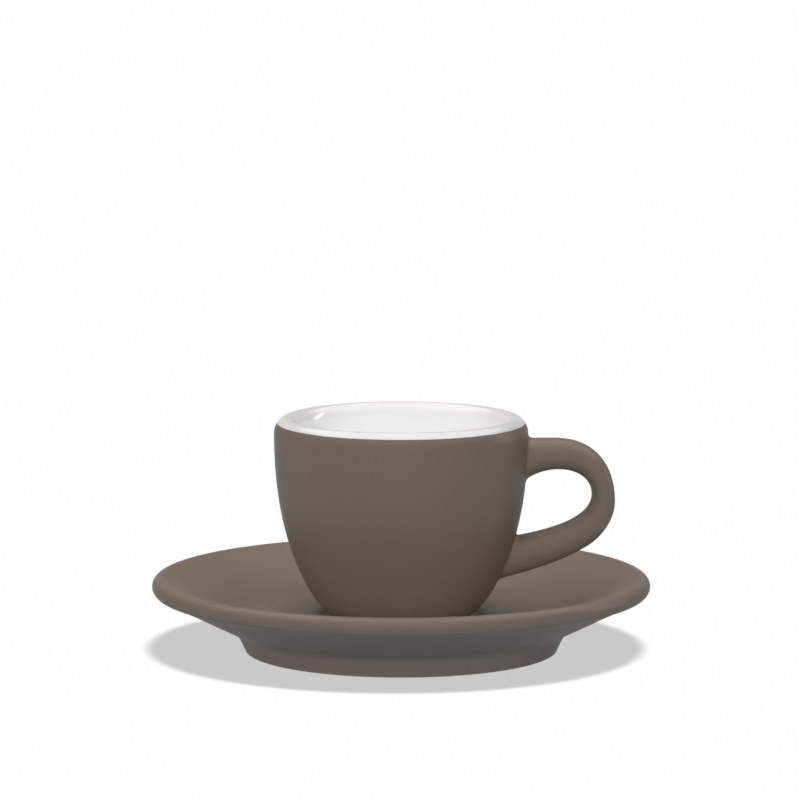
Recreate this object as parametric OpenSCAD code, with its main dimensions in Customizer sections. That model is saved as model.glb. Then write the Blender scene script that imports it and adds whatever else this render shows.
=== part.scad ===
// Espresso cup with saucer, in millimetres.
// The origin is the centre of the saucer's foot, on the table, and +Z is up.
// The handle points along +X.

/* [Saucer] */
// Outer diameter over the lip
saucer_d = 120; // [110:1:132]
// Height of the lip above the table
saucer_h = 18; // [16.5:0.5:20]
// Thickness of the round lip
saucer_lip_t = 4.3; // [3.4:0.1:5]
// Outer diameter of the foot where it rests
saucer_foot_d = 75; // [70:1:80]
// Width of the foot's resting ring
saucer_foot_w = 2.8; // [2:0.1:4]
// Height of the foot on its outer side
saucer_foot_h = 4.8; // [4:0.1:5.2]
// Depth of the hollow inside the foot
saucer_hollow_h = 4; // [2.5:0.1:4.6]
// Diameter of the line where the floor turns up into the brim
well_d = 77; // [72:1:84]
// Height of the floor above the table
well_z = 9; // [8.4:0.1:10]
// Diameter of the seat that the cup stands in
seat_d = 36.8; // [36:0.1:40]
// Depth of the seat below the floor
seat_depth = 1; // [0.8:0.1:1.4]

/* [Cup] */
// Widest outer diameter
cup_d = 61.1; // [56:0.1:66]
// Height from foot to lip
cup_h = 48.6; // [44:0.1:54]
// Thickness of the wall at the lip
cup_lip_t = 5.75; // [4:0.05:6.5]
// Height of the rounding outside the lip
lip_round_out = 4.1; // [3:0.1:5]
// Height of the rounding inside the lip
lip_round_in = 3.2; // [2:0.1:5]
// Depth of the line below the lip where the two glazes meet
glaze_line = 1.3; // [0.8:0.1:2.4]
// Height of the inner floor above the foot
cup_floor_t = 4.4; // [3.6:0.1:6]
// Outer diameter of the foot
cup_foot_d = 31; // [29:0.1:31.4]
// Width of the foot's resting ring
cup_foot_w = 2.4; // [1.8:0.1:4]
// Depth of the hollow inside the foot
cup_hollow_h = 1.3; // [0.8:0.1:1.8]

/* [Handle] */
// Distance that the handle stands out from the widest wall
handle_reach = 20.9; // [17:0.1:24]
// Height of the handle from its top to its lower root
handle_h = 34; // [31:0.1:36]
// Depth of the handle's top below the lip
handle_drop = 5.1; // [4.5:0.1:7]
// Width of the handle at its bend
handle_w = 8.8; // [7:0.1:10]
// Width of the handle where it meets the wall
handle_root_w = 10; // [8:0.1:12]
// Height of the joint bead above the wall
bead_h = 0.5; // [0.3:0.1:0.9]
// Width of the joint bead past the handle
bead_w = 0.7; // [0.4:0.1:1]

/* [Glaze] */
// Thickness of the glaze coats
glaze_t = 0.3; // [0.2:0.05:0.4]
// Height of the bare rim left on the feet
bare_h = 0.2; // [0.15:0.05:0.4]

/* [Hidden] */
$fn = 120;

brown_glaze = [0.42, 0.37, 0.33];
white_glaze = [0.93, 0.92, 0.90];
bare_clay = [0.86, 0.83, 0.77];

// Steps along each curve and rounding
curve_steps = 9;
corner_steps = 4;
handle_steps = 7;
handle_sides = 20;
// Rings at each end of the handle that reach through the wall
root_rings = 6;

// Saucer
saucer_r = saucer_d / 2;
lip_r = saucer_lip_t / 2;
lip_centre = [saucer_r - lip_r, saucer_h - lip_r];
well_r = well_d / 2;
seat_r = seat_d / 2;
saucer_foot_r = saucer_foot_d / 2;
// Reach of the roundings at the well's edge and the seat's edge
well_round = 2.7;
seat_round = 1.6;
// Angles on the lip where the brim and the wing leave it
brim_angle = 115;
wing_angle = -62;
// Lean of the foot's outer and inner sides
foot_lean = 2.2;
foot_lean_in = 1.2;
// Reach of the roundings where the foot meets the wing and the hollow
foot_round = 2.4;
hollow_round = 2;
// Directions of the wing, as rise over run, where it leaves the lip and where it meets the foot
wing_start_slope = 0.3;
wing_end_slope = 0.48;
// Pulls of the wing's curve, as shares of its run
wing_pull_shares = [0.2, 0.3];

// Cup
cup_r = cup_d / 2;
cup_z = well_z - seat_depth;
cup_top_z = cup_z + cup_h;
cup_foot_r = cup_foot_d / 2;
cup_floor_z = cup_z + cup_floor_t;
bore_r = cup_r - cup_lip_t;
// Share of the lip's thickness that lies outside its crown
crown_share = 0.51;
crown_r = cup_r - cup_lip_t * crown_share;
// Angle round the lip where the two glazes meet
line_angle = asin((lip_round_out - glaze_line) / lip_round_out);
// The outer wall's curve: shares of the way out from the foot to the widest radius, and of the height
wall_shares = [[0.076, 0.015], [0.31, 0.06], [0.452, 0.14], [0.574, 0.22],
               [0.837, 0.39], [1, 0.62]];
// The bore's curve from its floor upward: shares of the bore's radius and of its depth
bore_shares = [[0.44, 0], [0.72, 0.03], [0.81, 0.13], [0.98, 0.33], [1, 0.62]];
// Lean of the foot's outer side, over the bare rim
cup_foot_lean = 0.1;

// Handle
handle_top_z = cup_top_z - handle_drop;
// Depth that the handle's ends reach into the wall before they are trimmed
root_sink = 2;
// Roundness of the section: 2 is an ellipse, more is squarer
section_power = 2.4;
// The two edges seen from the side, from the upper root round to the lower one:
// shares of the reach from the wall, and of the height from the handle's top
outer_edge_shares = [[-0.12, 0], [0.02, 0], [0.16, 0], [0.31, 0],
                     [0.75, 0], [1, -0.18], [1, -0.45],
                     [1, -0.59], [0.83, -0.72], [0.65, -0.78],
                     [0.35, -0.89], [-0.05, -0.96], [-0.41, -1.02]];
inner_edge_shares = [[-0.12, -0.34], [-0.01, -0.27], [0.16, -0.22], [0.35, -0.22],
                     [0.57, -0.22], [0.73, -0.29], [0.73, -0.4],
                     [0.73, -0.48], [0.63, -0.54], [0.47, -0.59],
                     [0.3, -0.64], [0.06, -0.68], [-0.29, -0.71]];

// Plane geometry
function unit(v) = v / norm(v);
function left_of(v) = [-v[1], v[0]];
function reverse(p) = [for (i = [len(p) - 1:-1:0]) p[i]];
function slice(p, from, to) = [for (i = [from:to]) p[i]];
function skip_first(p) = slice(p, 1, len(p) - 1);

// A point on a cubic curve
function cubic_at(p, t) =
    p[0] * pow(1 - t, 3) + p[1] * 3 * t * pow(1 - t, 2)
    + p[2] * 3 * t * t * (1 - t) + p[3] * pow(t, 3);

// Points along a chain of cubic curves that share their ends
function chain(p, steps) = concat(
    [p[0]],
    [for (i = [0:3:len(p) - 4]) for (j = [1:steps]) cubic_at(slice(p, i, i + 3), j / steps)]);

// Points along a corner that is rounded from a to b
function rounded(a, corner, b) = chain(
    [a, a + (corner - a) * 2 / 3, b + (corner - b) * 2 / 3, b], corner_steps);

// Points on an ellipse between two angles
function arc(centre, semi, from, to, steps) = [
    for (j = [0:steps])
        let (angle = from + (to - from) * j / steps)
        centre + [semi[0] * cos(angle), semi[1] * sin(angle)]];

// The outline moved into the material, which lies on its right, with true corners
function inset(p, by) = [
    for (i = [0:len(p) - 1])
        let (i_in = max(i, 1),
             i_out = min(i, len(p) - 2),
             before = unit(p[i_in] - p[i_in - 1]),
             after = unit(p[i_out + 1] - p[i_out]),
             middle = unit(before + after))
        p[i] - left_of(middle) * by / (middle * before)];

// Saucer outlines, as [radius, height], from the axis over the lip and back under the foot
brim_start = [well_r + well_round,
              well_z + well_round * (saucer_h - well_z) / (lip_centre[0] - well_r)];
wing_start = lip_centre + lip_r * [cos(wing_angle), sin(wing_angle)];
wing_end = [saucer_foot_r + foot_lean + foot_round,
            saucer_foot_h + foot_round * wing_end_slope];
wing_run = wing_start[0] - wing_end[0];
foot_corner = [saucer_foot_r + foot_lean, saucer_foot_h];
// Share of the foot's outer side that stays straight below its rounding
straight_share = 0.6;
foot_side = [for (share = [straight_share, bare_h / saucer_foot_h])
             [saucer_foot_r + foot_lean * share, saucer_foot_h * share]];

saucer_top = concat(
    [[0, cup_z]],
    rounded([seat_r - seat_round / 2, cup_z], [seat_r, cup_z],
            [seat_r + seat_round / 2, cup_z + seat_depth / 2]),
    skip_first(rounded([seat_r + seat_round / 2, cup_z + seat_depth / 2],
                       [seat_r + seat_round, well_z], [seat_r + seat_round * 2, well_z])),
    rounded([well_r - well_round, well_z], [well_r, well_z], brim_start),
    arc(lip_centre, [lip_r, lip_r], brim_angle, wing_angle, curve_steps * 2),
    skip_first(chain([wing_start,
                      wing_start - wing_run * wing_pull_shares[0] * [1, wing_start_slope],
                      wing_end + wing_run * wing_pull_shares[1] * [1, wing_end_slope],
                      wing_end], curve_steps)),
    skip_first(rounded(wing_end, foot_corner, foot_side[0])),
    [foot_side[1]]);

saucer_foot_in = saucer_foot_r - saucer_foot_w;
saucer_bare = [[saucer_foot_r, 0], [saucer_foot_in, 0]];
saucer_base = concat(
    [[saucer_foot_in - foot_lean_in * bare_h / saucer_hollow_h, bare_h]],
    rounded([saucer_foot_in - foot_lean_in / 2, saucer_hollow_h / 2],
            [saucer_foot_in - foot_lean_in, saucer_hollow_h],
            [saucer_foot_in - foot_lean_in - hollow_round, saucer_hollow_h]),
    [[0, saucer_hollow_h]]);

// Cup outlines, from the inner floor up over the lip and down to the foot
function wall_point(share) = [
    cup_foot_r + (cup_r - cup_foot_r) * share[0], cup_z + cup_h * share[1]];
function bore_point(share) = [
    bore_r * share[0], cup_floor_z + (cup_top_z - cup_floor_z) * share[1]];

cup_inside = concat(
    chain(concat([[0, cup_floor_z]], [for (s = bore_shares) bore_point(s)],
                 [[bore_r, cup_top_z - lip_round_in]]), curve_steps),
    skip_first(arc([crown_r, cup_top_z - lip_round_in], [crown_r - bore_r, lip_round_in],
                   180, 90, curve_steps)),
    skip_first(arc([crown_r, cup_top_z - lip_round_out], [cup_r - crown_r, lip_round_out],
                   90, line_angle, corner_steps)));

cup_wall = chain(concat([for (s = wall_shares) wall_point(s)],
                        [[cup_r, cup_top_z - lip_round_out]]), curve_steps);
cup_outside = concat(
    arc([crown_r, cup_top_z - lip_round_out], [cup_r - crown_r, lip_round_out],
        line_angle, 0, corner_steps),
    skip_first(reverse(cup_wall)),
    [[cup_foot_r + cup_foot_lean, cup_z + bare_h]]);

cup_foot_in = cup_foot_r - cup_foot_w;
cup_bare = [[cup_foot_r, cup_z], [cup_foot_in, cup_z]];
cup_base = [[cup_foot_in - cup_foot_lean, cup_z + bare_h],
            [cup_foot_in - cup_hollow_h, cup_z + cup_hollow_h],
            [0, cup_z + cup_hollow_h]];

// Both coats of the cup are moved in together, so that they meet edge to edge
cup_skin = concat(cup_inside, skip_first(cup_outside));
cup_under_skin = inset(cup_skin, glaze_t);
line_index = len(cup_inside) - 1;
last_index = len(cup_skin) - 1;

// The wall's radius at a height, for the roots of the handle
wall_radius_table = [for (p = cup_wall) [p[1], p[0]]];
function wall_radius(z) = lookup(z, wall_radius_table);

// Handle edges, as [distance from the axis, height], with their ends sunk in the wall
function edge_point(share) = [cup_r + handle_reach * share[0], handle_top_z + handle_h * share[1]];
function sunk(p) = [wall_radius(p[1]) - root_sink, p[1]];
function edge(shares) =
    let (p = [for (s = shares) edge_point(s)])
    chain(concat([sunk(p[0])], slice(p, 1, len(p) - 2), [sunk(p[len(p) - 1])]), handle_steps);
outer_edge = edge(outer_edge_shares);
inner_edge = edge(inner_edge_shares);
last_ring = len(outer_edge) - 1;

// Half the width at a ring, wider at the roots
function half_width(i) =
    (handle_root_w - (handle_root_w - handle_w) * sin(180 * i / last_ring)) / 2;
function softened(x) = sign(x) * pow(abs(x), 2 / section_power);

// One ring of the handle's section, grown past its surface
function ring(i, grow) =
    let (middle = (outer_edge[i] + inner_edge[i]) / 2,
         arm = outer_edge[i] - inner_edge[i],
         half_t = norm(arm) / 2 + grow,
         half_w = half_width(i) + grow,
         out = unit(arm))
    [for (k = [0:handle_sides - 1])
        let (angle = 360 * k / handle_sides,
             rise = half_t * softened(cos(angle)),
             side = half_w * softened(sin(angle)))
        [middle[0] + out[0] * rise, side, middle[1] + out[1] * rise]];

function rings(from, to, grow) = [for (i = [from:to]) each ring(i, grow)];

// Triangles between neighbouring rings, outward or inward
function skin_faces(count, start, outward) = [
    for (i = [0:count - 2]) for (k = [0:handle_sides - 1])
        let (a = start + i * handle_sides + k,
             b = start + i * handle_sides + (k + 1) % handle_sides,
             c = a + handle_sides,
             d = b + handle_sides)
        each (outward ? [[a, b, d], [a, d, c]] : [[a, d, b], [a, c, d]])];

// A solid stretch of the handle
module handle_stretch(from, to, grow) {
    count = to - from + 1;
    last = (count - 1) * handle_sides;
    polyhedron(
        points = rings(from, to, grow),
        faces = concat(
            skin_faces(count, 0, true),
            [for (k = [1:handle_sides - 2]) [0, k + 1, k]],
            [for (k = [1:handle_sides - 2]) [last, last + k, last + k + 1]]));
}

// The coat round the whole handle, open at both ends
module handle_coat() {
    count = last_ring + 1;
    inner = count * handle_sides;
    last = (count - 1) * handle_sides;
    polyhedron(
        points = concat(rings(0, last_ring, 0), rings(0, last_ring, -glaze_t)),
        faces = concat(
            skin_faces(count, 0, true),
            skin_faces(count, inner, false),
            [for (k = [0:handle_sides - 1])
                let (n = (k + 1) % handle_sides)
                each [[k, inner + n, n], [k, inner + k, inner + n]]],
            [for (k = [0:handle_sides - 1])
                let (n = (k + 1) % handle_sides)
                each [[last + k, last + n, last + inner + n],
                      [last + k, last + inner + n, last + inner + k]]]));
}

module turned(outline) {
    rotate_extrude() polygon(outline);
}

// A coat between a stretch of outline and the same stretch moved in
module coat(outer, inner) {
    turned(concat(outer, reverse(inner)));
}

// The cup's outer form, filled to the axis, grown past its surface
module cup_form(grow) {
    side = inset(cup_outside, -grow);
    turned(concat([[0, side[0][1]]], side, [[0, side[len(side) - 1][1]]]));
}

module upper_root() {
    handle_stretch(0, root_rings, bead_w);
}

module lower_root() {
    handle_stretch(last_ring - root_rings, last_ring, bead_w);
}

module saucer_body() {
    color(bare_clay)
        turned(concat(inset(saucer_top, glaze_t), [saucer_top[len(saucer_top) - 1]],
                      saucer_bare, [saucer_base[0]], inset(saucer_base, glaze_t)));
}

module saucer_glaze() {
    color(brown_glaze) coat(saucer_top, inset(saucer_top, glaze_t));
}

module saucer_base_glaze() {
    color(brown_glaze) coat(saucer_base, inset(saucer_base, glaze_t));
}

module cup_body() {
    color(bare_clay)
        turned(concat(cup_under_skin, [cup_skin[last_index]],
                      cup_bare, [cup_base[0]], inset(cup_base, glaze_t)));
}

module cup_outer_glaze() {
    color(brown_glaze) difference() {
        coat(slice(cup_skin, line_index, last_index),
             slice(cup_under_skin, line_index, last_index));
        upper_root();
        lower_root();
    }
}

module cup_inner_glaze() {
    color(white_glaze)
        coat(slice(cup_skin, 0, line_index), slice(cup_under_skin, 0, line_index));
}

module cup_base_glaze() {
    color(brown_glaze) coat(cup_base, inset(cup_base, glaze_t));
}

module handle_core() {
    color(bare_clay) difference() {
        handle_stretch(0, last_ring, -glaze_t);
        cup_form(bead_h);
    }
}

module handle_glaze() {
    color(brown_glaze) difference() {
        handle_coat();
        cup_form(bead_h);
    }
}

// The bead between the wall under its coat and the end of the handle
module joint_shell() {
    difference() {
        cup_form(bead_h);
        cup_form(-glaze_t);
    }
}

module handle_joint_upper() {
    color(brown_glaze) intersection() {
        joint_shell();
        upper_root();
    }
}

module handle_joint_lower() {
    color(brown_glaze) intersection() {
        joint_shell();
        lower_root();
    }
}

saucer_body();
saucer_glaze();
saucer_base_glaze();
cup_body();
cup_outer_glaze();
cup_inner_glaze();
cup_base_glaze();
handle_core();
handle_glaze();
handle_joint_upper();
handle_joint_lower();
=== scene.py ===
"""An espresso cup with its saucer: the fired pieces and their glazes, on a pale floor.

Everything is in metres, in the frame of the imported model. The origin is the centre of the
saucer's foot on the floor, +Z is up, and the handle of the cup points along +X.
"""

import logging
import math
from collections.abc import Mapping, Sequence
from dataclasses import dataclass, field
from enum import Enum

import bpy
import numpy as np
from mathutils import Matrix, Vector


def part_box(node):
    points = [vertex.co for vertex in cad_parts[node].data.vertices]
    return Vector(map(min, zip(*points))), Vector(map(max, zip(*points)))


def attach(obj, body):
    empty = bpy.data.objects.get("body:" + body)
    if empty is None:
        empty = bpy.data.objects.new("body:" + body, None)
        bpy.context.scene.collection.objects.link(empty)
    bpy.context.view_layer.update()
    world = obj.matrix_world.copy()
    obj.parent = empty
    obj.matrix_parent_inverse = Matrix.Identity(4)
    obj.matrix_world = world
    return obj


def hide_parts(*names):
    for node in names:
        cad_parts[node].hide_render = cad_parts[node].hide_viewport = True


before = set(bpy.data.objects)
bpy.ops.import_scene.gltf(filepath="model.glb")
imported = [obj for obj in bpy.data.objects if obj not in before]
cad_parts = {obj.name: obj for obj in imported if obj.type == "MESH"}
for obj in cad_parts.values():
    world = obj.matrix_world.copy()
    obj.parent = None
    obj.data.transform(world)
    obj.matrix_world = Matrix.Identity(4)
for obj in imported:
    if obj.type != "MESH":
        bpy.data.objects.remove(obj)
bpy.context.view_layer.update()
LOG = logging.getLogger("espresso_cup")

Colour = tuple[float, float, float]
Point = Sequence[float]
Profile = np.ndarray

# How finely curves, corners and turned pieces are drawn
CURVE_STEPS = 24
CORNER_STEPS = 10
TURN_SEGMENTS = 256
# How far towards its corner a rounding's two ends are pulled
CORNER_PULL = 2 / 3
# Edges that bend more than this stay crisp
CRISP_ANGLE = math.radians(35)
# Radii and gaps below this count as none
TINY = 1e-7
# How much of a finish's drift of colour is clouds. The rest is grain.
CLOUD_SHARE = 0.6
# The finer layers in the noise of clouds and relief
FINE_DETAIL = 3
# How strongly a fired surface bends light
FIRED_IOR = 1.5
# Where a Mix node has its factor, its two colours and its mixed colour
MIX_COLOUR_INPUTS = (0, 6, 7)
MIX_COLOUR_OUTPUT = 2


class Body(Enum):
    """The two loose bodies."""

    SAUCER = "saucer"
    CUP = "cup"


class Slot(Enum):
    """The finishes that the pieces take."""

    BARE = "bare_porcelain"
    BROWN = "matt_brown_glaze"
    WHITE = "white_gloss_glaze"


def unit(rows: np.ndarray) -> np.ndarray:
    """Return each row of an array scaled to length one."""
    return rows / np.linalg.norm(rows, axis=-1, keepdims=True)


def flat_on(ways: np.ndarray, normals: np.ndarray) -> np.ndarray:
    """Return directions laid flat on surfaces with these normals, as rows of length one."""
    return unit(ways - normals * np.sum(ways * normals, axis=1, keepdims=True))


def cubic(controls: Sequence[Point], at: np.ndarray) -> np.ndarray:
    """Return points on one cubic curve, or each on a curve of its own.

    Args:
        controls: The first end, the two pulls and the last end, each a point or a row of points.
        at: Where along its curve each point lies, from 0 to 1.

    Returns:
        One row for each point.
    """
    p = np.asarray(controls, float)
    t = np.asarray(at, float)[:, None]
    s = 1 - t
    return s**3 * p[0] + 3 * t * s**2 * p[1] + 3 * t**2 * s * p[2] + t**3 * p[3]


def join(*stretches: Sequence[Point]) -> Profile:
    """Return stretches of points end to end, without a point that repeats the last one.

    Args:
        stretches: The stretches, in order.

    Returns:
        The points of all of them.
    """
    points: list[np.ndarray] = []
    for stretch in stretches:
        for point in np.asarray(stretch, float).reshape(-1, 2):
            if not points or np.linalg.norm(point - points[-1]) > TINY:
                points.append(point)
    return np.array(points)


def chain(controls: Sequence[Point], steps: int = CURVE_STEPS) -> Profile:
    """Return points along a chain of cubic curves that share their ends.

    Args:
        controls: The control points, three for each curve and one more.
        steps: The steps in each curve.

    Returns:
        The points of the chain.
    """
    at = np.linspace(0, 1, steps + 1)
    return join(*(cubic(controls[i:i + 4], at) for i in range(0, len(controls) - 1, 3)))


def rounded(before: Point, corner: Point, after: Point) -> Profile:
    """Return points along a corner that is rounded between two points on its sides."""
    a, c, b = (np.asarray(p, float) for p in (before, corner, after))
    return chain([a, a + (c - a) * CORNER_PULL, b + (c - b) * CORNER_PULL, b], CORNER_STEPS)


def arc(centre: Point, semi: Point, start: float, end: float) -> Profile:
    """Return points on an ellipse.

    Args:
        centre: Its centre.
        semi: Its two semi-axes.
        start: The angle of the first point, in degrees.
        end: The angle of the last point, in degrees.

    Returns:
        The points, with both ends.
    """
    angle = np.radians(np.linspace(start, end, CURVE_STEPS + 1))
    return np.asarray(centre) + np.column_stack([np.cos(angle), np.sin(angle)]) * np.asarray(semi)


def inset(outline: Profile, by: float) -> Profile:
    """Return an outline moved into the material, which lies on its right.

    Args:
        outline: The points of the outline.
        by: How far it moves.

    Returns:
        As many points, with true corners.
    """
    ways = unit(np.diff(outline, axis=0))
    before = np.vstack([ways[:1], ways])
    after = np.vstack([ways, ways[-1:]])
    middle = unit(before + after)
    left = np.column_stack([-middle[:, 1], middle[:, 0]])
    return outline - left * by / np.sum(middle * before, axis=1, keepdims=True)


def coat(outline: Profile, thickness: float) -> Profile:
    """Return the closed outline of a coat of that thickness."""
    return np.vstack([outline, inset(outline, thickness)[::-1]])


def resting_ring(outer_r: float, inner_r: float, z: float, edge: float) -> Profile:
    """Return the outline of the bare ring that a foot stands on.

    Args:
        outer_r: The ring's outer radius.
        inner_r: Its inner radius.
        z: The height at which it stands.
        edge: How far its two edges are rounded.

    Returns:
        The points from the outer edge to the inner one.
    """
    return join(rounded([outer_r, z + edge], [outer_r, z], [outer_r - edge, z]),
                rounded([inner_r + edge, z], [inner_r, z], [inner_r, z + edge]))


def finished_mesh(name: str, points: np.ndarray, faces: list[Sequence[int]]) -> bpy.types.Mesh:
    """Return a smooth mesh whose sharp edges stay crisp.

    Args:
        name: The mesh's name.
        points: One row for each vertex.
        faces: The corners of each face.

    Returns:
        The new mesh.
    """
    mesh = bpy.data.meshes.new(name)
    mesh.from_pydata(points.tolist(), [], faces)
    mesh.validate()
    mesh.shade_smooth()
    mesh.set_sharp_from_angle(angle=CRISP_ANGLE)
    return mesh


def turned(name: str, outline: Profile) -> bpy.types.Mesh:
    """Turn a closed outline round the axis.

    Args:
        name: The mesh's name.
        outline: Points as (radius, height), with the material on their right.

    Returns:
        The new mesh.
    """
    angle = np.linspace(0, 2 * math.pi, TURN_SEGMENTS, endpoint=False)
    rows: list[np.ndarray] = []
    rings: list[list[int]] = []
    count = 0
    for radius, height in outline:
        around = angle if radius > TINY else angle[:1]
        rows.append(np.column_stack([radius * np.cos(around), radius * np.sin(around),
                                     np.full(len(around), height)]))
        ring = list(range(count, count + len(around)))
        rings.append(ring if len(ring) > 1 else ring * TURN_SEGMENTS)
        count += len(around)
    faces: list[Sequence[int]] = []
    for here, there in zip(rings, rings[1:] + rings[:1]):
        for k in range(TURN_SEGMENTS):
            n = (k + 1) % TURN_SEGMENTS
            corners = list(dict.fromkeys([here[k], there[k], there[n], here[n]]))
            if len(corners) > 2:
                faces.append(corners)
    return finished_mesh(name, np.vstack(rows), faces)


def tube(name: str, rings: np.ndarray) -> bpy.types.Mesh:
    """Skin rings of points, each joined to the next and the last one to the first.

    Args:
        name: The mesh's name.
        rings: The points, as ring, place round the ring and coordinate.

    Returns:
        The new mesh.
    """
    count, sides, _ = rings.shape
    faces = [(i * sides + k, (i + 1) % count * sides + k,
              (i + 1) % count * sides + (k + 1) % sides, i * sides + (k + 1) % sides)
             for i in range(count) for k in range(sides)]
    return finished_mesh(name, rings.reshape(-1, 3), faces)


def placed(name: str, data: bpy.types.ID) -> bpy.types.Object:
    """Put a new object in the scene.

    Args:
        name: The object's name.
        data: Its mesh, lamp or camera.

    Returns:
        The new object.
    """
    made = bpy.data.objects.new(name, data)
    bpy.context.scene.collection.objects.link(made)
    return made


class Number:
    """A socket that carries a number, with arithmetic that adds Math nodes."""

    def __init__(self, graph: "Graph", socket: bpy.types.NodeSocket) -> None:
        """Keep the graph and the socket."""
        self.graph = graph
        self.socket = socket

    def _math(self, operation: str, first: "Number | float", second: "Number | float") -> "Number":
        """Return the result of one Math node."""
        node = self.graph.add("ShaderNodeMath", {"operation": operation}, {0: first, 1: second})
        return Number(self.graph, node.outputs[0])

    def __add__(self, other: "Number | float") -> "Number":
        """Return the sum."""
        return self._math("ADD", self, other)

    __radd__ = __add__

    def __mul__(self, other: "Number | float") -> "Number":
        """Return the product."""
        return self._math("MULTIPLY", self, other)

    __rmul__ = __mul__

    def __sub__(self, other: "Number | float") -> "Number":
        """Return the difference."""
        return self._math("SUBTRACT", self, other)

    def __rsub__(self, other: float) -> "Number":
        """Return the difference from a plain number."""
        return self._math("SUBTRACT", other, self)

    def smooth_step(self, low: float, high: float) -> "Number":
        """Return a smooth climb from 0 to 1.

        Args:
            low: The value at and below which the result is 0.
            high: The value at and above which the result is 1.

        Returns:
            The climb.
        """
        node = self.graph.add(
            "ShaderNodeMapRange", {"interpolation_type": "SMOOTHSTEP"},
            {"Value": self, "From Min": low, "From Max": high})
        return Number(self.graph, node.outputs[0])


class Graph:
    """The nodes of one material or world."""

    def __init__(self, tree: bpy.types.NodeTree) -> None:
        """Start from an empty tree."""
        self.tree = tree
        tree.nodes.clear()

    def add(self, kind: str, settings: Mapping[str, object] | None = None,
            inputs: Mapping[str | int, object] | None = None) -> bpy.types.Node:
        """Add a node.

        Args:
            kind: The node's type.
            settings: What is set on the node before its sockets.
            inputs: A value or a link for each named or numbered socket.

        Returns:
            The new node.
        """
        node = self.tree.nodes.new(kind)
        for key, value in (settings or {}).items():
            setattr(node, key, value)
        for key, value in (inputs or {}).items():
            socket = node.inputs[key]
            source = value.socket if isinstance(value, Number) else value
            if isinstance(source, bpy.types.NodeSocket):
                self.tree.links.new(source, socket)
            elif socket.type == "RGBA":
                socket.default_value = (*source, 1)
            else:
                socket.default_value = source
        return node

    def noise(self, size: float, detail: float = 2) -> Number:
        """Return a noise over the surface.

        Args:
            size: The size of its patches.
            detail: How many finer layers it has.

        Returns:
            The noise, near 0.5 on average.
        """
        node = self.add("ShaderNodeTexNoise", None,
                        {"Vector": self.place(), "Scale": 1 / size, "Detail": detail})
        return Number(self, node.outputs[0])

    def place(self) -> bpy.types.NodeSocket:
        """Return where the surface lies at rest."""
        return self.add("ShaderNodeTexCoord").outputs["Object"]

    def place_along(self, axis: str) -> Number:
        """Return where the surface lies along one axis at rest."""
        node = self.add("ShaderNodeSeparateXYZ", None, {0: self.place()})
        return Number(self, node.outputs[axis])

    def mixed(self, factor: Number, first: object, second: object) -> bpy.types.NodeSocket:
        """Return a mix of two colours, each a value or a link."""
        node = self.add("ShaderNodeMix", {"data_type": "RGBA"},
                        dict(zip(MIX_COLOUR_INPUTS, (factor, first, second))))
        return node.outputs[MIX_COLOUR_OUTPUT]

    def bump(self, height: Number, distance: float) -> bpy.types.NodeSocket:
        """Return the normal of a surface with small relief."""
        node = self.add("ShaderNodeBump", None, {"Height": height, "Distance": distance})
        return node.outputs[0]


def shade(colour: Colour, by: float) -> Colour:
    """Return a colour made lighter or darker by a factor."""
    return tuple(c * by for c in colour)


@dataclass(frozen=True)
class Finish:
    """What all finishes share: a colour that drifts, a grain and a fine relief."""

    name: str
    colour: Colour
    drift: float
    drift_size: float
    grain_size: float
    roughness: float
    roughness_drift: float
    relief_size: float
    relief: float
    sheen: float

    def colour_over(self, graph: Graph) -> bpy.types.NodeSocket:
        """Return the colour over the surface, with soft clouds and a fine grain.

        Args:
            graph: The nodes of the finish's material.

        Returns:
            The socket that gives the colour.
        """
        clouds = graph.noise(self.drift_size, FINE_DETAIL)
        grain = graph.noise(self.grain_size)
        tone = clouds * CLOUD_SHARE + grain * (1 - CLOUD_SHARE)
        dark, light = shade(self.colour, 1 - self.drift), shade(self.colour, 1 + self.drift)
        return graph.mixed(tone, dark, light)

    def surface(self, graph: Graph) -> dict[str, object]:
        """Return what feeds the finish's shader.

        Args:
            graph: The nodes of the finish's material.

        Returns:
            A value or a link for each socket that it sets.
        """
        rough = graph.noise(self.drift_size / 2) * self.roughness_drift
        return {
            "Base Color": self.colour_over(graph),
            "Roughness": rough + (self.roughness - self.roughness_drift / 2),
            "IOR": FIRED_IOR,
            "Specular IOR Level": self.sheen,
            "Normal": graph.bump(graph.noise(self.relief_size, FINE_DETAIL), self.relief),
        }

    def material(self) -> bpy.types.Material:
        """Make the finish's material.

        Returns:
            The new material.
        """
        made = bpy.data.materials.new(self.name)
        made.use_nodes = True
        graph = Graph(made.node_tree)
        shader = graph.add("ShaderNodeBsdfPrincipled", None, self.surface(graph))
        graph.add("ShaderNodeOutputMaterial", None, {"Surface": shader.outputs[0]})
        return made


@dataclass(frozen=True)
class MattGlaze(Finish):
    """A matt brown glaze with a faint sheen."""

    name: str = "matt brown glaze"
    colour: Colour = (0.214, 0.164, 0.135)
    drift: float = 0.05
    drift_size: float = 0.012
    grain_size: float = 0.0005
    roughness: float = 0.5
    roughness_drift: float = 0.08
    relief_size: float = 0.0006
    relief: float = 0.00001
    sheen: float = 0.07
    gloss: float = 0.3
    gloss_roughness: float = 0.35
    gloss_fade: tuple[float, float] = (0.35, 0.75)

    def surface(self, graph: Graph) -> dict[str, object]:
        """Return what feeds the shader, with a soft gloss that fades at glancing angles.

        Args:
            graph: The nodes of the glaze's material.

        Returns:
            A value or a link for each socket that it sets.
        """
        side = Number(graph, graph.add("ShaderNodeLayerWeight").outputs["Facing"])
        return super().surface(graph) | {
            "Coat Weight": (1 - side.smooth_step(*self.gloss_fade)) * self.gloss,
            "Coat Roughness": self.gloss_roughness,
        }


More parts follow.
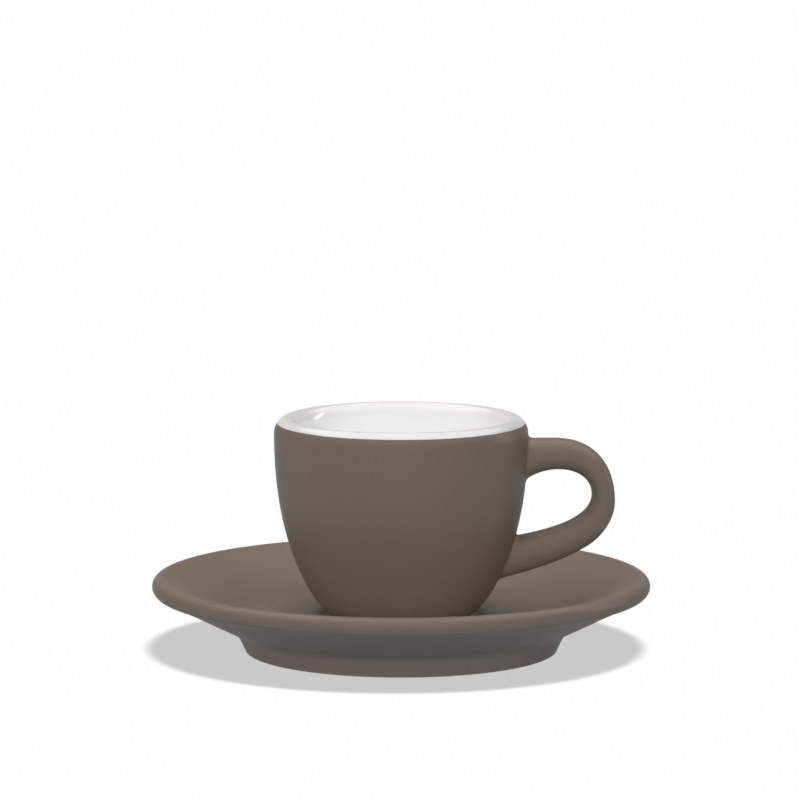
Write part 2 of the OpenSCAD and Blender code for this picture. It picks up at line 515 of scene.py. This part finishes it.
@dataclass(frozen=True)
class GlossGlaze(Finish):
    """A glossy white glaze with a slightly wavy skin."""

    name: str = "white gloss glaze"
    colour: Colour = (0.955, 0.95, 0.94)
    drift: float = 0.012
    drift_size: float = 0.015
    grain_size: float = 0.0015
    roughness: float = 0.06
    roughness_drift: float = 0.03
    relief_size: float = 0.008
    relief: float = 0.00003
    sheen: float = 0.5


@dataclass(frozen=True)
class BareClay(Finish):
    """The bare fired body that the feet stand on, dry and grainy."""

    name: str = "bare fired body"
    colour: Colour = (0.66, 0.62, 0.55)
    drift: float = 0.1
    drift_size: float = 0.004
    grain_size: float = 0.0003
    roughness: float = 0.85
    roughness_drift: float = 0.1
    relief_size: float = 0.0003
    relief: float = 0.00003
    sheen: float = 0.3


@dataclass
class SubAssembly:
    """What the saucer, the cup and the handle share."""

    body: Body = field(init=False)
    pieces: list[tuple[bpy.types.Object, Slot]] = field(init=False, default_factory=list)

    def add(self, mesh: bpy.types.Mesh, slot: Slot, *nodes: str) -> None:
        """Put a piece in place of CAD nodes.

        Args:
            mesh: The piece's mesh, which gives it its name.
            slot: The finish that it takes.
            nodes: The nodes that it stands for.
        """
        piece = placed(mesh.name, mesh)
        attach(piece, self.body.value)
        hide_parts(*nodes)
        self.pieces.append((piece, slot))

    def dress(self, materials: Mapping[Slot, bpy.types.Material]) -> None:
        """Give each piece its finish.

        Args:
            materials: The material of each finish.
        """
        for piece, slot in self.pieces:
            piece.data.materials.clear()
            piece.data.materials.append(materials[slot])
            LOG.info("%s: %d faces, %s", piece.name, len(piece.data.polygons), slot.value)


@dataclass
class Saucer(SubAssembly):
    """The saucer: its fired body, with a bare resting ring, and its two brown coats."""

    outer_r: float
    lip_z: float
    glaze_t: float = 0.0003
    bare_h: float = 0.0002
    lip_t: float = 0.0043
    well_r: float = 0.0385
    well_z: float = 0.009
    well_round: float = 0.0027
    seat_r: float = 0.0184
    seat_depth: float = 0.001
    seat_round: float = 0.0016
    foot_r: float = 0.0375
    foot_w: float = 0.0028
    foot_h: float = 0.0048
    foot_lean: float = 0.0022
    foot_round: float = 0.0024
    foot_lean_in: float = 0.0012
    hollow_h: float = 0.004
    hollow_round: float = 0.002
    edge_round: float = 0.0004
    # Angles on the lip where the brim and the wing leave it
    brim_angle: float = 115
    wing_angle: float = -62
    # Rise over run of the wing at the lip and at the foot, and how far its curve is pulled
    wing_start_slope: float = 0.3
    wing_end_slope: float = 0.48
    wing_pull_shares: tuple[float, float] = (0.2, 0.3)
    straight_share: float = 0.6

    def __post_init__(self) -> None:
        """The saucer is a body of its own."""
        self.body = Body.SAUCER

    @property
    def seat_z(self) -> float:
        """The height at which the cup stands."""
        return self.well_z - self.seat_depth

    def top(self) -> Profile:
        """Draw the saucer's upper side, its lip, its wing and the outside of its foot.

        Returns:
            The outline from the axis over the lip and down the foot.
        """
        lip_r = self.lip_t / 2
        lip_centre = np.array([self.outer_r - lip_r, self.lip_z - lip_r])
        brim_slope = (self.lip_z - self.well_z) / (lip_centre[0] - self.well_r)
        seat_middle = [self.seat_r + self.seat_round / 2, self.seat_z + self.seat_depth / 2]
        wing_angle = math.radians(self.wing_angle)
        wing_start = lip_centre + lip_r * np.array([math.cos(wing_angle), math.sin(wing_angle)])
        foot_corner = np.array([self.foot_r + self.foot_lean, self.foot_h])
        wing_end = foot_corner + self.foot_round * np.array([1, self.wing_end_slope])
        run = wing_start[0] - wing_end[0]
        first_pull = run * self.wing_pull_shares[0] * np.array([1, self.wing_start_slope])
        last_pull = run * self.wing_pull_shares[1] * np.array([1, self.wing_end_slope])
        side = [[self.foot_r + self.foot_lean * share, self.foot_h * share]
                for share in (self.straight_share, self.bare_h / self.foot_h)]
        return join(
            [[0, self.seat_z]],
            rounded([self.seat_r - self.seat_round / 2, self.seat_z],
                    [self.seat_r, self.seat_z], seat_middle),
            rounded(seat_middle, [self.seat_r + self.seat_round, self.well_z],
                    [self.seat_r + self.seat_round * 2, self.well_z]),
            rounded([self.well_r - self.well_round, self.well_z], [self.well_r, self.well_z],
                    [self.well_r + self.well_round, self.well_z + self.well_round * brim_slope]),
            arc(lip_centre, [lip_r, lip_r], self.brim_angle, self.wing_angle),
            chain([wing_start, wing_start - first_pull, wing_end + last_pull, wing_end]),
            rounded(wing_end, foot_corner, side[0]), side[1:])

    def base(self) -> Profile:
        """Draw the hollow inside the foot ring.

        Returns:
            The outline up the ring's inside and over to the axis.
        """
        inner_r = self.foot_r - self.foot_w
        top_r = inner_r - self.foot_lean_in
        return join(
            [[inner_r - self.foot_lean_in * self.bare_h / self.hollow_h, self.bare_h]],
            rounded([inner_r - self.foot_lean_in / 2, self.hollow_h / 2], [top_r, self.hollow_h],
                    [top_r - self.hollow_round, self.hollow_h]),
            [[0, self.hollow_h]])

    def build(self) -> None:
        """Make the saucer's pieces."""
        top, base = self.top(), self.base()
        resting = resting_ring(self.foot_r, self.foot_r - self.foot_w, 0, self.edge_round)
        body = join(inset(top, self.glaze_t), resting, inset(base, self.glaze_t))
        self.add(turned("saucer_fired_body", body), Slot.BARE, "saucer_body")
        self.add(turned("saucer_brown_glaze", coat(top, self.glaze_t)), Slot.BROWN, "saucer_glaze")
        self.add(turned("saucer_foot_glaze", coat(base, self.glaze_t)), Slot.BROWN,
                 "saucer_base_glaze")


@dataclass
class Cup(SubAssembly):
    """The cup: its fired body, the brown coat outside and the white one inside."""

    outer_r: float
    foot_z: float
    top_z: float
    glaze_t: float = 0.0003
    bare_h: float = 0.0002
    lip_t: float = 0.00575
    lip_round_out: float = 0.0041
    lip_round_in: float = 0.0032
    line_drop: float = 0.0013
    floor_t: float = 0.0044
    foot_r: float = 0.0155
    foot_w: float = 0.0024
    foot_lean: float = 0.0001
    hollow_h: float = 0.0013
    edge_round: float = 0.0004
    crown_share: float = 0.51
    wall_shares: tuple[Point, ...] = ((0.076, 0.015), (0.31, 0.06), (0.452, 0.14),
                                      (0.574, 0.22), (0.837, 0.39), (1, 0.62))
    bore_shares: tuple[Point, ...] = ((0.44, 0), (0.72, 0.03), (0.81, 0.13), (0.98, 0.33),
                                      (1, 0.62))

    def __post_init__(self) -> None:
        """The cup is a body of its own, with its handle."""
        self.body = Body.CUP

    @property
    def crown_r(self) -> float:
        """The radius of the lip's highest line."""
        return self.outer_r - self.lip_t * self.crown_share

    def line_angle(self) -> float:
        """Return the angle round the lip where the two glazes meet, in degrees."""
        return math.degrees(math.asin(1 - self.line_drop / self.lip_round_out))

    def outer_lip(self, start: float, end: float) -> Profile:
        """Return the lip's outer rounding between two angles."""
        return arc([self.crown_r, self.top_z - self.lip_round_out],
                   [self.outer_r - self.crown_r, self.lip_round_out], start, end)

    def inside(self) -> Profile:
        """Draw the bore and the part of the lip that is white.

        Returns:
            The outline from the inner floor up over the lip to the line.
        """
        bore_r = self.outer_r - self.lip_t
        floor_z = self.foot_z + self.floor_t
        depth = self.top_z - floor_z
        bore = [[bore_r * r, floor_z + depth * z] for r, z in self.bore_shares]
        return join(
            chain([[0, floor_z], *bore, [bore_r, self.top_z - self.lip_round_in]]),
            arc([self.crown_r, self.top_z - self.lip_round_in],
                [self.crown_r - bore_r, self.lip_round_in], 180, 90),
            self.outer_lip(90, self.line_angle()))

    def outside(self) -> Profile:
        """Draw the part of the lip that is brown, and the wall.

        Returns:
            The outline from the line down the wall to the foot.
        """
        spread, height = self.outer_r - self.foot_r, self.top_z - self.foot_z
        wall = [[self.foot_r + spread * r, self.foot_z + height * z] for r, z in self.wall_shares]
        return join(
            self.outer_lip(self.line_angle(), 0),
            chain([*wall, [self.outer_r, self.top_z - self.lip_round_out]])[::-1],
            [[self.foot_r + self.foot_lean, self.foot_z + self.bare_h]])

    def base(self) -> Profile:
        """Draw the hollow inside the foot ring.

        Returns:
            The outline up the ring's inside and over to the axis.
        """
        inner_r = self.foot_r - self.foot_w
        hollow_z = self.foot_z + self.hollow_h
        return join([[inner_r - self.foot_lean, self.foot_z + self.bare_h]],
                    rounded([inner_r - self.hollow_h / 2, self.foot_z + self.hollow_h / 2],
                            [inner_r - self.hollow_h, hollow_z],
                            [inner_r - self.hollow_h * 2, hollow_z]),
                    [[0, hollow_z]])

    def build(self) -> None:
        """Make the cup's pieces."""
        inside, outside, base = self.inside(), self.outside(), self.base()
        skin = join(inside, outside)
        under = inset(skin, self.glaze_t)
        line = len(inside)
        resting = resting_ring(self.foot_r, self.foot_r - self.foot_w, self.foot_z,
                               self.edge_round)
        body = join(under, resting, inset(base, self.glaze_t))
        white = np.vstack([skin[:line], under[:line][::-1]])
        brown = np.vstack([skin[line - 1:], under[line - 1:][::-1]])
        self.add(turned("cup_fired_body", body), Slot.BARE, "cup_body")
        self.add(turned("cup_brown_glaze", brown), Slot.BROWN, "cup_outer_glaze")
        self.add(turned("cup_white_glaze", white), Slot.WHITE, "cup_inner_glaze")
        self.add(turned("cup_foot_glaze", coat(base, self.glaze_t)), Slot.BROWN, "cup_base_glaze")


@dataclass
class Handle(SubAssembly):
    """The ear handle with its coat, and the two smooth joints at the wall."""

    cup: Cup
    glaze_t: float = 0.0003
    reach: float = 0.0209
    height: float = 0.034
    drop: float = 0.0051
    width: float = 0.0088
    root_width: float = 0.01
    root_sink: float = 0.002
    section_power: float = 2.4
    fillet: float = 0.0012
    sunk: float = 0.0003
    sides: int = 96
    # How often the two searches at a joint are repeated, and the small step that gives a slope
    halvings: int = 40
    corrections: int = 6
    slope_step: float = 1e-4
    outer_shares: tuple[Point, ...] = (
        (-0.12, 0), (0.02, 0), (0.16, 0), (0.31, 0), (0.75, 0), (1, -0.18), (1, -0.45),
        (1, -0.59), (0.83, -0.72), (0.65, -0.78), (0.35, -0.89), (-0.05, -0.96), (-0.41, -1.02))
    inner_shares: tuple[Point, ...] = (
        (-0.12, -0.34), (-0.01, -0.27), (0.16, -0.22), (0.35, -0.22), (0.57, -0.22),
        (0.73, -0.29), (0.73, -0.4), (0.73, -0.48), (0.63, -0.54), (0.47, -0.59),
        (0.3, -0.64), (0.06, -0.68), (-0.29, -0.71))
    wall: Profile = field(init=False)
    outer_edge: Profile = field(init=False)
    inner_edge: Profile = field(init=False)
    last: int = field(init=False)

    def __post_init__(self) -> None:
        """The handle belongs to the cup's body. Its two edges and the wall are kept as points."""
        self.body = Body.CUP
        self.wall = self.cup.outside()[::-1]
        self.outer_edge = self._edge(self.outer_shares)
        self.inner_edge = self._edge(self.inner_shares)
        self.last = (len(self.outer_edge) - 1) // 3

    @property
    def round_section(self) -> np.ndarray:
        """The angles round the section at which the handle's skin has its points."""
        return np.linspace(0, 2 * math.pi, self.sides, endpoint=False)

    def _edge(self, shares: Sequence[Point]) -> Profile:
        """Place one of the handle's two edges.

        Args:
            shares: Its points, as shares of the handle's reach and height.

        Returns:
            Its control points, with both ends sunk in the wall.
        """
        top_z = self.cup.top_z - self.drop
        edge = np.array([[self.cup.outer_r + self.reach * x, top_z + self.height * z]
                         for x, z in shares])
        for end in (0, -1):
            edge[end, 0] = self.wall_radius(edge[end, 1]) - self.root_sink
        return edge

    def wall_radius(self, height: np.ndarray | float) -> np.ndarray:
        """Return the radius of the cup's wall at a height."""
        return np.interp(height, self.wall[:, 1], self.wall[:, 0])

    def wall_normal(self, points: np.ndarray) -> np.ndarray:
        """Find which way the cup's wall faces.

        Args:
            points: Points near the wall.

        Returns:
            The wall's outward normal at each.
        """
        step = self.glaze_t
        slope = (self.wall_radius(points[..., 2] + step)
                 - self.wall_radius(points[..., 2] - step)) / (2 * step)
        out = unit(points[..., :2])
        return unit(np.concatenate([out, -slope[..., None]], axis=-1))

    def onto_wall(self, points: np.ndarray) -> np.ndarray:
        """Return points moved level onto the wall."""
        out = unit(points[..., :2]) * self.wall_radius(points[..., 2])[..., None]
        return np.concatenate([out, points[..., 2:]], axis=-1)

    def along(self, controls: np.ndarray, at: np.ndarray) -> np.ndarray:
        """Return points along an edge, at places that count its curves from 0."""
        index = np.clip(np.floor(at).astype(int), 0, self.last - 1)
        return cubic([controls[index * 3 + i] for i in range(4)], at - index)

    def skin(self, at: np.ndarray, angle: np.ndarray, grow: float = 0) -> np.ndarray:
        """Return points on the handle's skin, or grown past it.

        Args:
            at: Where each point lies along the edges, counting their curves from 0.
            angle: Where it lies round the section, from the outer edge, in radians.
            grow: How far outside the skin it lies.

        Returns:
            One row for each point.
        """
        outer, inner = self.along(self.outer_edge, at), self.along(self.inner_edge, at)
        middle, arm = (outer + inner) / 2, outer - inner
        slimming = (self.root_width - self.width) * np.sin(math.pi * at / self.last)
        half_w = (self.root_width - slimming) / 2 + grow
        half_t = np.linalg.norm(arm, axis=1) / 2 + grow
        power = 2 / self.section_power
        rise = half_t * np.sign(np.cos(angle)) * np.abs(np.cos(angle)) ** power
        side = half_w * np.sign(np.sin(angle)) * np.abs(np.sin(angle)) ** power
        out = unit(arm)
        return np.column_stack([middle[:, 0] + out[:, 0] * rise, side,
                                middle[:, 1] + out[:, 1] * rise])

    def rings(self, grow: float) -> np.ndarray:
        """Draw the whole handle.

        Args:
            grow: How far outside its skin the points lie.

        Returns:
            The points, as ring, place round the ring and coordinate.
        """
        at = np.linspace(0, self.last, self.last * CURVE_STEPS + 1)
        places, angles = np.meshgrid(at, self.round_section, indexing="ij")
        return self.skin(places.ravel(), angles.ravel(), grow).reshape(len(at), self.sides, 3)

    def meeting(self, root: float, inward: float, angle: np.ndarray) -> np.ndarray:
        """Return where lines along the handle meet the wall.

        Args:
            root: The end of the handle, counting its curves.
            inward: 1 or -1, the way from that end into the handle.
            angle: The place of each line round the section.

        Returns:
            The place of each meeting along the edges.
        """
        low, high = np.full(len(angle), root), np.full(len(angle), root + inward)
        for _ in range(self.halvings):
            middle = (low + high) / 2
            point = self.skin(middle, angle)
            outside = np.linalg.norm(point[:, :2], axis=1) > self.wall_radius(point[:, 2])
            high = np.where(outside, middle, high)
            low = np.where(outside, low, middle)
        return high

    def set_back(self, meet_at: np.ndarray, inward: float, angle: np.ndarray) -> np.ndarray:
        """Return where the joint's hollow ends on the handle.

        Args:
            meet_at: Where the handle meets the wall, as a place along the edges.
            inward: 1 or -1, the way from that end into the handle.
            angle: The place of each point round the section.

        Returns:
            The places along the edges that lie one fillet away.
        """
        corner, at = self.skin(meet_at, angle), meet_at
        for _ in range(self.corrections):
            here = self.skin(at, angle)
            ahead = self.skin(at + self.slope_step, angle)
            speed = np.linalg.norm(ahead - here, axis=1) / self.slope_step
            at = at + inward * (self.fillet - np.linalg.norm(here - corner, axis=1)) / speed
        return at

    def joint(self, name: str, root: float, inward: float) -> bpy.types.Mesh:
        """Make the smooth joint at one end.

        Args:
            name: The mesh's name.
            root: The end of the handle, counting its curves.
            inward: 1 or -1, the way from that end into the handle.

        Returns:
            The new mesh.
        """
        angle = self.round_section
        meet_at = self.meeting(root, inward, angle)
        corner = self.skin(meet_at, angle)
        handle_at = self.set_back(meet_at, inward, angle)
        on_handle = self.skin(handle_at, angle)
        handle_way = unit(self.skin(handle_at - inward * self.slope_step, angle) - on_handle)
        handle_normal = self.skin_normal(handle_at, angle)
        wall_normal = self.wall_normal(corner)
        away = flat_on(self.skin_normal(meet_at, angle), wall_normal)
        on_wall = self.onto_wall(corner + away * self.fillet)
        foot_normal = self.wall_normal(on_wall)
        wall_way = flat_on(corner - on_wall, foot_normal)
        pull = CORNER_PULL * self.fillet
        across = np.linspace(0, 1, CORNER_STEPS * 2 + 1)
        controls = np.stack([on_handle, on_handle + handle_way * pull,
                             on_wall + wall_way * pull, on_wall])
        skin = np.stack([cubic(controls[:, k], across) for k in range(self.sides)], axis=1)
        under = np.stack([on_wall - foot_normal * self.sunk,
                          corner - (wall_normal + away) * self.sunk,
                          on_handle - handle_normal * self.sunk])
        rings = np.concatenate([skin, under])
        # The joint is shaded as one with the handle and the wall at its two edges. A normal of
        # zero leaves a point as it is.
        normals = np.zeros_like(rings)
        normals[0], normals[len(skin) - 1] = handle_normal, foot_normal
        if inward > 0:
            rings, normals = rings[::-1], normals[::-1]
        mesh = tube(name, rings)
        mesh.normals_split_custom_set_from_vertices(normals.reshape(-1, 3).tolist())
        return mesh

    def skin_normal(self, at: np.ndarray, angle: np.ndarray) -> np.ndarray:
        """Find which way the handle's skin faces.

        Args:
            at: Where each point lies along the edges, counting their curves from 0.
            angle: Where it lies round the section.

        Returns:
            The skin's outward normal at each.
        """
        step = self.slope_step
        along = self.skin(at + step, angle) - self.skin(at - step, angle)
        around = self.skin(at, angle + step) - self.skin(at, angle - step)
        normal = unit(np.cross(around, along))
        outward = self.skin(at, angle, self.glaze_t) - self.skin(at, angle)
        return normal * np.sign(np.sum(normal * outward, axis=1, keepdims=True))

    def build(self) -> None:
        """Make the handle's pieces. Its core is the CAD node, which keeps its shape."""
        outer, inner = self.rings(0), self.rings(-self.glaze_t)
        coat_rings = np.concatenate([outer, inner[::-1]])
        self.add(tube("handle_brown_glaze", coat_rings), Slot.BROWN, "handle_glaze")
        self.add(self.joint("handle_upper_joint", 0, 1), Slot.BROWN, "handle_joint_upper")
        self.add(self.joint("handle_lower_joint", self.last, -1), Slot.BROWN, "handle_joint_lower")

    def dress(self, materials: Mapping[Slot, bpy.types.Material]) -> None:
        """Give each piece its finish, the core too.

        Args:
            materials: The material of each finish.
        """
        super().dress(materials)
        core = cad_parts["handle_core"]
        for place in core.material_slots:
            place.material = materials[Slot.BARE]
        LOG.info("handle_core: the CAD node, %s", Slot.BARE.value)


@dataclass(frozen=True)
class Viewpoint:
    """Where the picture is taken from, and how long the lens is."""

    distance: float = 1.24518
    height: float = 0.2294
    pitch: float = math.radians(7.715)
    focal_px: float = 5236.5
    frame_px: float = 800
    # The column of the picture in which the object's axis stands
    axis_px: float = 401.15
    nearest: float = 0.05
    farthest: float = 50

    def build(self) -> None:
        """Make the scene's camera."""
        data = bpy.data.cameras.new("camera")
        data.lens = self.focal_px / self.frame_px * data.sensor_width
        data.clip_start, data.clip_end = self.nearest, self.farthest
        camera = placed("camera", data)
        aside = (self.axis_px - self.frame_px / 2) / self.focal_px * self.distance
        camera.location = (-aside, -self.distance, self.height)
        camera.rotation_euler = (math.pi / 2 - self.pitch, 0, 0)
        bpy.context.scene.camera = camera


@dataclass(frozen=True)
class Lamp:
    """A distant soft lamp, which gloss doesn't show.

    Its azimuth is 0 in front of the object and 90 at its right, and its width is how wide it
    looks, all in degrees. At level 1 a white surface that faces it looks white.
    """

    name: str
    azimuth: float
    elevation: float
    width: float
    level: float
    colour: Colour = (1, 1, 1)
    shadow: bool = True

    def build(self, receivers: bpy.types.Collection) -> None:
        """Make the lamp.

        Args:
            receivers: What it lights.
        """
        data = bpy.data.lights.new(self.name, "SUN")
        data.energy = self.level * math.pi
        data.angle = math.radians(self.width)
        data.color = self.colour
        data.use_shadow = self.shadow
        lamp = placed(self.name, data)
        lamp.rotation_euler = (math.radians(90 - self.elevation), 0, math.radians(self.azimuth))
        lamp.visible_glossy = False
        lamp.light_linking.receiver_collection = receivers


@dataclass(frozen=True)
class Card:
    """A card that only gloss shows, as photographers set them round glossy things."""

    name: str

    def shape(self) -> tuple[list[Point], list[Sequence[int]]]:
        """Return the card's vertices and faces."""
        raise NotImplementedError

    def level(self, graph: Graph) -> Number | float:
        """Return how bright the card looks."""
        raise NotImplementedError

    def build(self) -> None:
        """Make the card."""
        material = bpy.data.materials.new(self.name)
        material.use_nodes = True
        material.cycles.emission_sampling = "NONE"
        graph = Graph(material.node_tree)
        glow = graph.add("ShaderNodeEmission", None,
                         {"Color": (1, 1, 1), "Strength": self.level(graph)})
        graph.add("ShaderNodeOutputMaterial", None, {"Surface": glow.outputs[0]})
        points, faces = self.shape()
        mesh = bpy.data.meshes.new(self.name)
        mesh.from_pydata(points, [], faces)
        mesh.materials.append(material)
        card = placed(self.name, mesh)
        for rays in ("camera", "diffuse", "transmission", "shadow"):
            setattr(card, f"visible_{rays}", False)


@dataclass(frozen=True)
class Flag(Card):
    """A dark card bent all round, lighter behind the object."""

    name: str = "flag"
    radius: float = 2
    elevation: float = 36
    columns: int = 96
    dark_level: float = 0.16
    back_level: float = 0.7
    edge_share: float = 0.94
    back_shares: tuple[float, float] = (0.6, 0.88)

    @property
    def height(self) -> float:
        """The height of its top edge, which stands at its elevation."""
        return self.radius * math.tan(math.radians(self.elevation))

    def shape(self) -> tuple[list[Point], list[Sequence[int]]]:
        """Draw an upright ring.

        Returns:
            Its vertices and faces.
        """
        around = np.linspace(0, 2 * math.pi, self.columns, endpoint=False)
        points = [(self.radius * math.sin(a), -self.radius * math.cos(a), z)
                  for z in (0, self.height) for a in around]
        n = self.columns
        return points, [(c, (c + 1) % n, n + (c + 1) % n, n + c) for c in range(n)]

    def level(self, graph: Graph) -> Number:
        """Set a dark level that rises behind the object and at the top edge.

        Args:
            graph: The nodes of the card's material.

        Returns:
            How bright the card looks.
        """
        rise = graph.place_along("Z").smooth_step(self.height * self.edge_share, self.height)
        back = graph.place_along("Y").smooth_step(*(self.radius * s for s in self.back_shares))
        low = back * (self.back_level - self.dark_level) + self.dark_level
        return rise + low * (1 - rise)


@dataclass(frozen=True)
class Panel(Card):
    """A flat card with four corners and one brightness all over."""

    brightness: float

    def corners(self) -> list[Point]:
        """Return its four corners."""
        raise NotImplementedError

    def shape(self) -> tuple[list[Point], list[Sequence[int]]]:
        """Return one face between the corners."""
        return self.corners(), [(0, 1, 2, 3)]

    def level(self, graph: Graph) -> float:
        """Return the one brightness."""
        return self.brightness


@dataclass(frozen=True)
class Softbox(Panel):
    """The broad soft lamp above and behind the object, as gloss shows it."""

    name: str = "softbox"
    brightness: float = 2.6
    height: float = 1.2
    half_width: float = 1.2
    front: float = -0.5
    back: float = 1.35

    def corners(self) -> list[Point]:
        """Return the corners of a level panel."""
        w, z = self.half_width, self.height
        return [(-w, self.front, z), (w, self.front, z), (w, self.back, z), (-w, self.back, z)]


@dataclass(frozen=True)
class Strip(Panel):
    """The narrow upright lamp at the right, a little behind, as gloss shows it."""

    name: str = "strip"
    brightness: float = 5
    azimuth: float = 109
    distance: float = 1.9
    width: float = 0.42
    height: float = 1.35

    def corners(self) -> list[Point]:
        """Place an upright panel that faces the object.

        Returns:
            Its four corners.
        """
        angle = math.radians(self.azimuth)
        foot = self.distance * np.array([math.sin(angle), -math.cos(angle), 0])
        aside = self.width / 2 * np.array([math.cos(angle), math.sin(angle), 0])
        top = np.array([0, 0, self.height])
        corners = [foot - aside, foot + aside, foot + aside + top, foot - aside + top]
        return [tuple(corner) for corner in corners]


@dataclass(frozen=True)
class Studio:
    """The pale floor, the light and the view."""

    floor_half: float = 4
    floor_colour: Colour = (0.14, 0.14, 0.14)
    floor_glow: float = 0.575
    floor_bounce: float = 0.205
    bounce_colour: Colour = (0.8, 1, 1.2)
    sky_level: float = 0.08
    floor_lamp: Lamp = Lamp("floor_light", azimuth=22, elevation=77, width=13, level=3)
    lamps: tuple[Lamp, ...] = (
        Lamp("top_light", azimuth=15, elevation=83, width=50, level=0.345,
             colour=(1.09, 1, 0.88)),
        Lamp("front_light", azimuth=0, elevation=10, width=60, level=0.515,
             colour=(0.96, 1, 1.03), shadow=False),
        Lamp("right_light", azimuth=90, elevation=10, width=60, level=0.05,
             colour=(0.72, 1.02, 1.26), shadow=False),
        Lamp("left_light", azimuth=-100, elevation=12, width=60, level=0.265, shadow=False),
    )

    def white_seen(self, graph: Graph) -> Number:
        """Find the rays that see the white background: in view, in gloss or in glass.

        Args:
            graph: The nodes of the floor's material or of the sky.

        Returns:
            1 for those rays and 0 for the others.
        """
        path = graph.add("ShaderNodeLightPath")
        rays = [Number(graph, path.outputs[name])
                for name in ("Is Camera Ray", "Is Glossy Ray", "Is Transmission Ray")]
        return rays[0] + rays[1] + rays[2]

    def build_floor(self) -> bpy.types.Object:
        """Make the floor, which is white with a soft shadow and throws little light back up.

        Returns:
            The floor.
        """
        material = bpy.data.materials.new("pale floor")
        material.use_nodes = True
        graph = Graph(material.node_tree)
        lit = graph.add("ShaderNodeBsdfDiffuse", None, {"Color": self.floor_colour})
        glow = graph.add("ShaderNodeEmission", None,
                         {"Color": (1, 1, 1), "Strength": self.floor_glow})
        seen = graph.add("ShaderNodeAddShader", None, {0: lit.outputs[0], 1: glow.outputs[0]})
        bounce = graph.add("ShaderNodeEmission", None,
                           {"Color": self.bounce_colour, "Strength": self.floor_bounce})
        both = graph.add("ShaderNodeMixShader", None,
                         {0: self.white_seen(graph), 1: bounce.outputs[0], 2: seen.outputs[0]})
        graph.add("ShaderNodeOutputMaterial", None, {"Surface": both.outputs[0]})
        h = self.floor_half
        mesh = bpy.data.meshes.new("floor")
        mesh.from_pydata([(-h, -h, 0), (h, -h, 0), (h, h, 0), (-h, h, 0)], [], [(0, 1, 2, 3)])
        mesh.materials.append(material)
        floor = placed("floor", mesh)
        return floor

    def build_world(self) -> None:
        """Make the sky: white where it is seen, and a softer fill as light."""
        world = bpy.data.worlds.new("studio")
        world.use_nodes = True
        bpy.context.scene.world = world
        graph = Graph(world.node_tree)
        level = self.white_seen(graph) * (1 - self.sky_level) + self.sky_level
        sky = graph.add("ShaderNodeBackground", None, {"Color": (1, 1, 1), "Strength": level})
        graph.add("ShaderNodeOutputWorld", None, {"Surface": sky.outputs[0]})

    def build_lamps(self, floor: bpy.types.Object) -> None:
        """Make the lamps: one for the floor and its shadow, the others for the object.

        Args:
            floor: The floor.
        """
        just_floor = bpy.data.collections.new("just the floor")
        all_else = bpy.data.collections.new("all but the floor")
        for receivers in (just_floor, all_else):
            receivers.objects.link(floor)
        all_else.collection_objects[0].light_linking.link_state = "EXCLUDE"
        self.floor_lamp.build(just_floor)
        for lamp in self.lamps:
            lamp.build(all_else)

    def build(self) -> None:
        """Make the whole studio."""
        Viewpoint().build()
        self.build_lamps(self.build_floor())
        self.build_world()
        for card in (Flag(), Softbox(), Strip()):
            card.build()
        bpy.context.scene.view_settings.view_transform = "Standard"


def main() -> None:
    """Build the studio, size the saucer and the cup from the boxes of three CAD nodes, then build
    and dress the pieces.
    """
    logging.basicConfig(level=logging.INFO, format="%(message)s")
    Studio().build()
    materials = {Slot.BROWN: MattGlaze().material(), Slot.WHITE: GlossGlaze().material(),
                 Slot.BARE: BareClay().material()}
    saucer_high, cup_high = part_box("saucer_glaze")[1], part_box("cup_outer_glaze")[1]
    saucer = Saucer(outer_r=saucer_high.x, lip_z=saucer_high.z)
    cup = Cup(outer_r=cup_high.x, foot_z=saucer.seat_z, top_z=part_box("cup_inner_glaze")[1].z)
    for part in (saucer, cup, Handle(cup=cup)):
        part.build()
        part.dress(materials)


if __name__ == "__main__":
    main()
